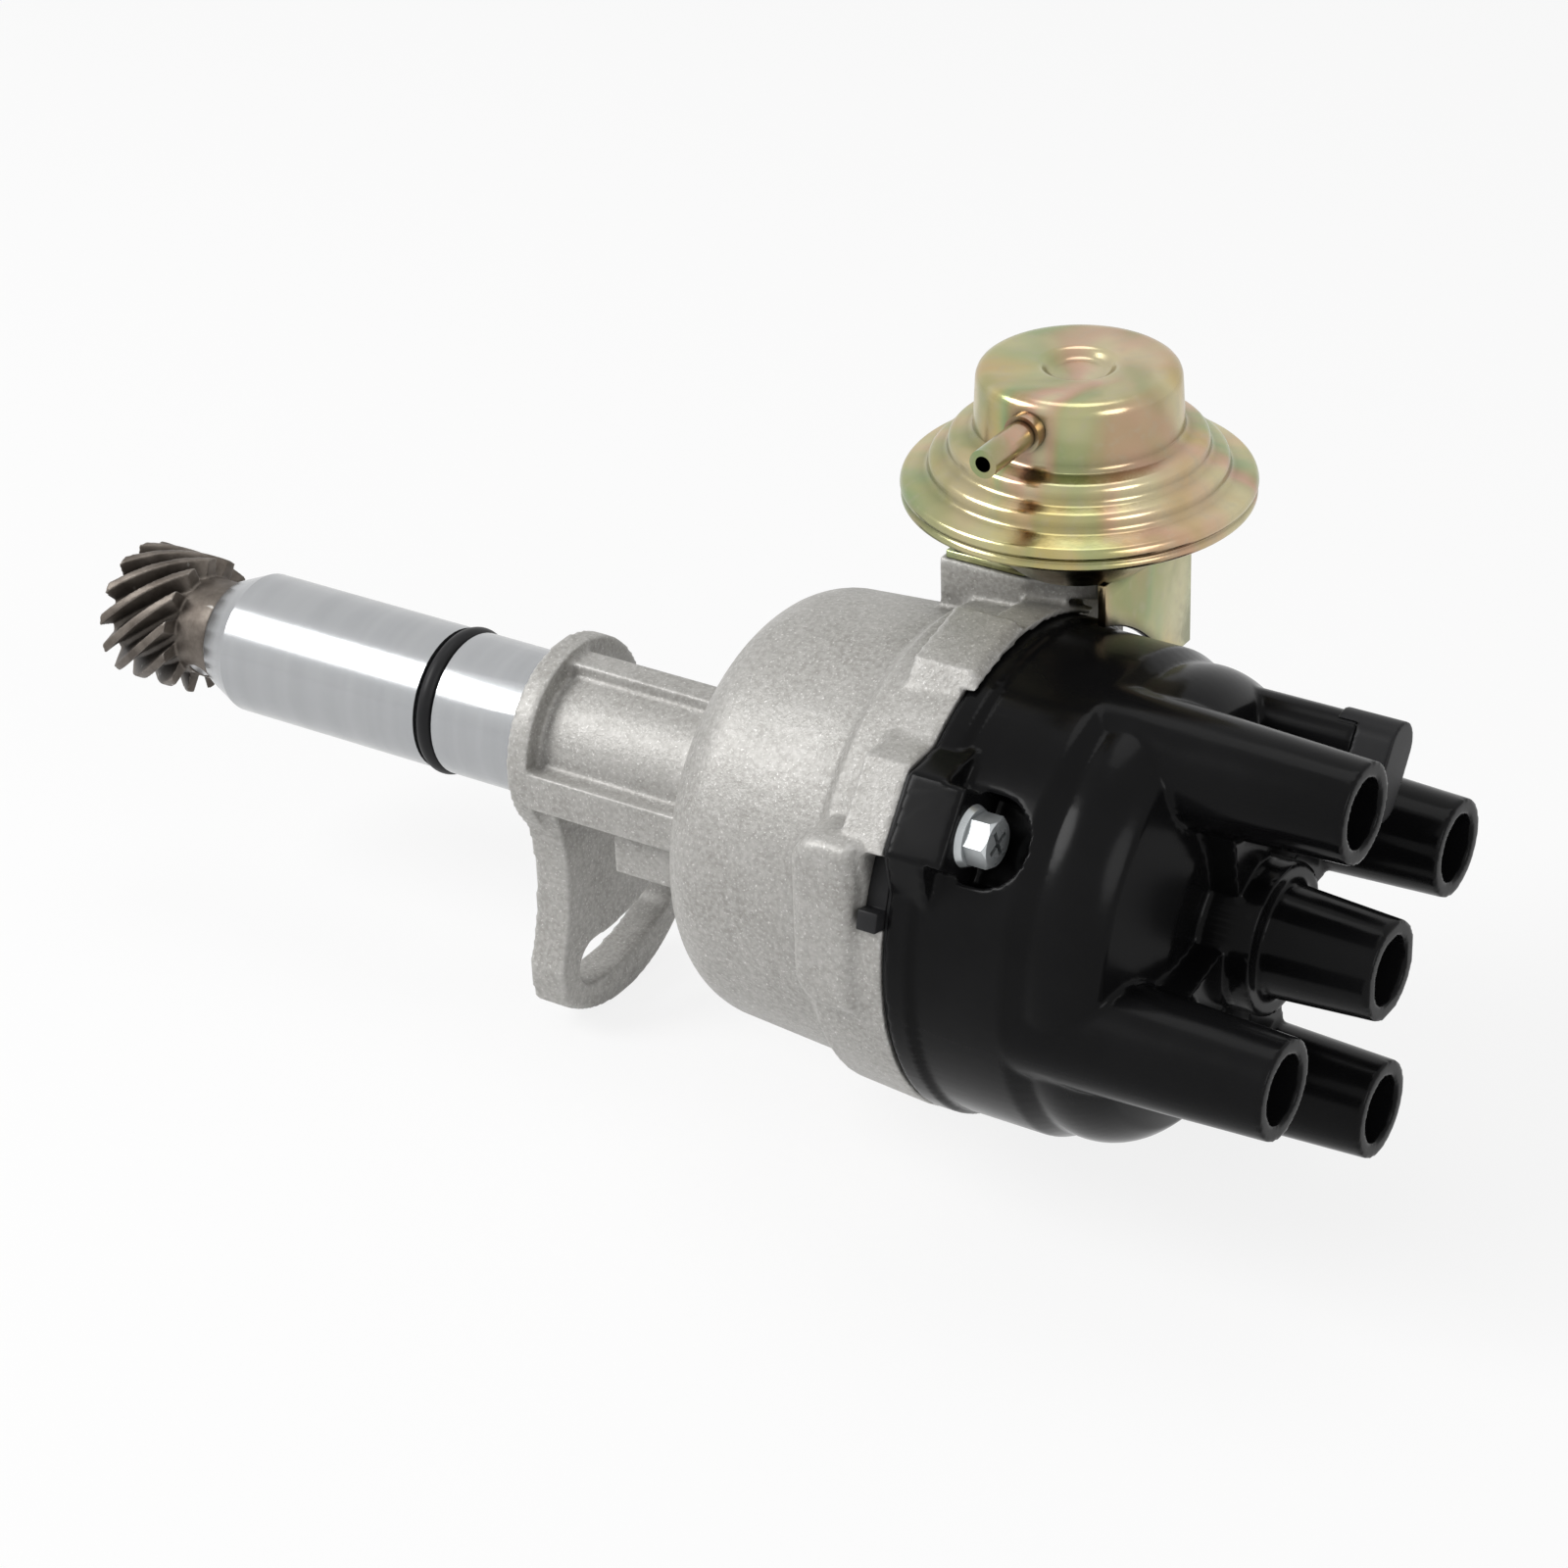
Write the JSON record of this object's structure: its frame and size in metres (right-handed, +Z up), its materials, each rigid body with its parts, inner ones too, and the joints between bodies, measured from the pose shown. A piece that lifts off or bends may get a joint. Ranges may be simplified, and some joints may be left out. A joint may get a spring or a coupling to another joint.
{
  "type": "ignition distributor",
  "caption": "Ignition distributor with a helical drive gear, shaft in a cast housing, vacuum advance canister, governor, rotor and a moulded cap with lead towers.",
  "frame": {"origin": "on the shaft axis, in the plane of the flange face that seats on the engine", "axes": "+X along the shaft from the drive gear to the cap, +Z up through the vacuum canister, -Y toward the side that the picture shows"},
  "size_m": [0.2661, 0.099, 0.1413],
  "materials": {
    "cast_aluminium": "as-cast, fine grained, warm light grey",
    "machined_aluminium": "turned bright",
    "bright_steel": "bright zinc plated",
    "dark_steel": "dark phosphated",
    "plain_steel": "ground and oiled",
    "spring_steel": "drawn wire",
    "bronze": "sintered bronze",
    "brass_contact": "bright",
    "black_rubber": "matt",
    "black_cap": "moulded, glossy",
    "dark_moulding": "moulded, satin",
    "carbon": "matt",
    "felt": "oiled felt",
    "yellow_zinc": "yellow passivated zinc, iridescent"
  },
  "bodies": {
    "body": {"housing": "cast_aluminium", "shank_o_ring": "black_rubber", "rim_grommet": "black_rubber", "gear_end_bush": "bronze", "bowl_end_bush": "bronze", "oil_seal": "black_rubber", "bowl_thrust_washer": "bronze", "base_plate": "bright_steel", "base_plate_screws": "bright_steel", "plate_retaining_ring": "spring_steel", "cap_gasket": "black_rubber", "distributor_cap": "black_cap", "cap_screws": "bright_steel", "side_terminals": "machined_aluminium", "centre_terminal": "machined_aluminium", "vent_hood": "dark_moulding", "vacuum_upper_shell": "yellow_zinc", "vacuum_lower_shell": "yellow_zinc", "diaphragm": "black_rubber", "vacuum_spring": "spring_steel", "vacuum_bracket": "yellow_zinc", "bracket_screws": "bright_steel", "hose_nipple": "yellow_zinc"},
    "shaft": {"distributor_shaft": "plain_steel", "drive_gear": "dark_steel", "gear_pin": "plain_steel", "gear_thrust_washer": "plain_steel", "governor_base_plate": "bright_steel", "weight_pivots": "plain_steel", "spring_posts": "plain_steel", "sleeve_screw": "bright_steel", "governor_spring_lower": "spring_steel", "governor_spring_upper": "spring_steel"},
    "weight_lower": {"governor_weight_lower": "plain_steel"},
    "weight_upper": {"governor_weight_upper": "plain_steel"},
    "sleeve": {"advance_sleeve": "plain_steel", "reluctor": "plain_steel", "rotor": "dark_moulding", "rotor_contact": "brass_contact", "felt_wick": "felt"},
    "pickup": {"pickup_plate": "bright_steel", "pickup_coil": "dark_moulding", "pickup_pole": "plain_steel", "ignition_module": "dark_moulding", "module_screws": "bright_steel", "rod_clip": "spring_steel"},
    "vacuum_link": {"vacuum_rod": "bright_steel", "diaphragm_cup": "bright_steel"},
    "brush": {"carbon_brush": "carbon", "brush_spring": "spring_steel"}
  },
  "joints": [
    {"name": "shaft_spin", "type": "hinge", "parent": "body", "child": "shaft", "pos_m": [0, 0, 0], "axis": [1, 0, 0], "continuous": true},
    {"name": "advance_turn", "type": "hinge", "parent": "shaft", "child": "sleeve", "pos_m": [0.06, 0, 0], "axis": [1, 0, 0], "range_deg": [-12, 0], "stiffness_Nm_per_rad": 0.6, "springref_deg": 2.86, "deforming": ["governor_spring_lower", "governor_spring_upper"]},
    {"name": "weight_lower_swing", "type": "hinge", "parent": "shaft", "child": "weight_lower", "pos_m": [0.057, 0, -0.023], "axis": [1, 0, 0], "range_deg": [-15, 0]},
    {"name": "weight_upper_swing", "type": "hinge", "parent": "shaft", "child": "weight_upper", "pos_m": [0.057, 0, 0.023], "axis": [1, 0, 0], "range_deg": [-15, 0]},
    {"name": "pickup_turn", "type": "hinge", "parent": "body", "child": "pickup", "pos_m": [0.0749, 0, 0], "axis": [1, 0, 0], "range_deg": [0, 10], "stiffness_Nm_per_rad": 0.8, "springref_deg": -5.73},
    {"name": "vacuum_pull", "type": "slide", "parent": "body", "child": "vacuum_link", "axis": [0, 0, 1], "range_m": [0, 0.00401], "deforming": ["vacuum_spring", "diaphragm"]},
    {"name": "brush_slide", "type": "slide", "parent": "body", "child": "brush", "axis": [1, 0, 0], "range_m": [0, 0.0015], "stiffness_N_per_m": 200, "springref_m": -0.004}
  ],
  "couplings": [
    {"joint": "weight_lower_swing", "follows": "advance_turn", "ratio": 1.25},
    {"joint": "weight_upper_swing", "follows": "advance_turn", "ratio": 1.25},
    {"joint": "vacuum_pull", "follows": "pickup_turn", "m_per_rad": 0.02296}
  ]
}
